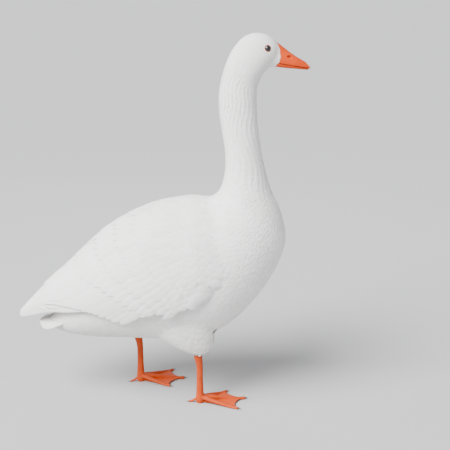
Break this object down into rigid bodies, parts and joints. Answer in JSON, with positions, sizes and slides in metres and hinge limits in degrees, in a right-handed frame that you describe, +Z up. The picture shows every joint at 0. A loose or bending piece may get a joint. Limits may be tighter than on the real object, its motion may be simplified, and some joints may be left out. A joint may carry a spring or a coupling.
{
  "type": "domestic goose, still life-size model",
  "caption": "White domestic goose standing in mid-stride with its neck raised, a heavy body, folded wings, a short tail, an orange bill and orange webbed feet.",
  "frame": {"origin": "on the ground, under the middle of the bird's length and breadth", "axes": "+X towards the bill, +Y to the goose's left side, +Z up; the bird is tallest along Z and narrowest along Y"},
  "size_m": [0.7261, 0.3027, 0.9201],
  "materials": {
    "feather": "soft white feathers, matte with a faint sheen",
    "bill": "orange horn skin, satin",
    "nail": "pale pinkish horn at the tip of the bill, smooth",
    "leg": "orange scaled skin, leathery",
    "claw": "horn, brown to pale, satin",
    "eye": "wet and dark with a blue-grey iris"
  },
  "bodies": {
    "root": {"torso": "feather", "neck_lower": "feather", "neck_upper": "feather", "head": "feather", "tail": "feather", "wing_left": "feather", "wing_right": "feather", "thigh_left": "feather", "thigh_right": "feather", "bill_upper": "bill", "bill_lower": "bill", "bill_nail": "nail", "eye_left": "eye", "eye_right": "eye", "shank_left": "leg", "shank_right": "leg", "foot_left": "leg", "foot_right": "leg", "claw_inner_left": "claw", "claw_middle_left": "claw", "claw_outer_left": "claw", "claw_hind_left": "claw", "claw_inner_right": "claw", "claw_middle_right": "claw", "claw_outer_right": "claw", "claw_hind_right": "claw"}
  },
  "joints": []
}
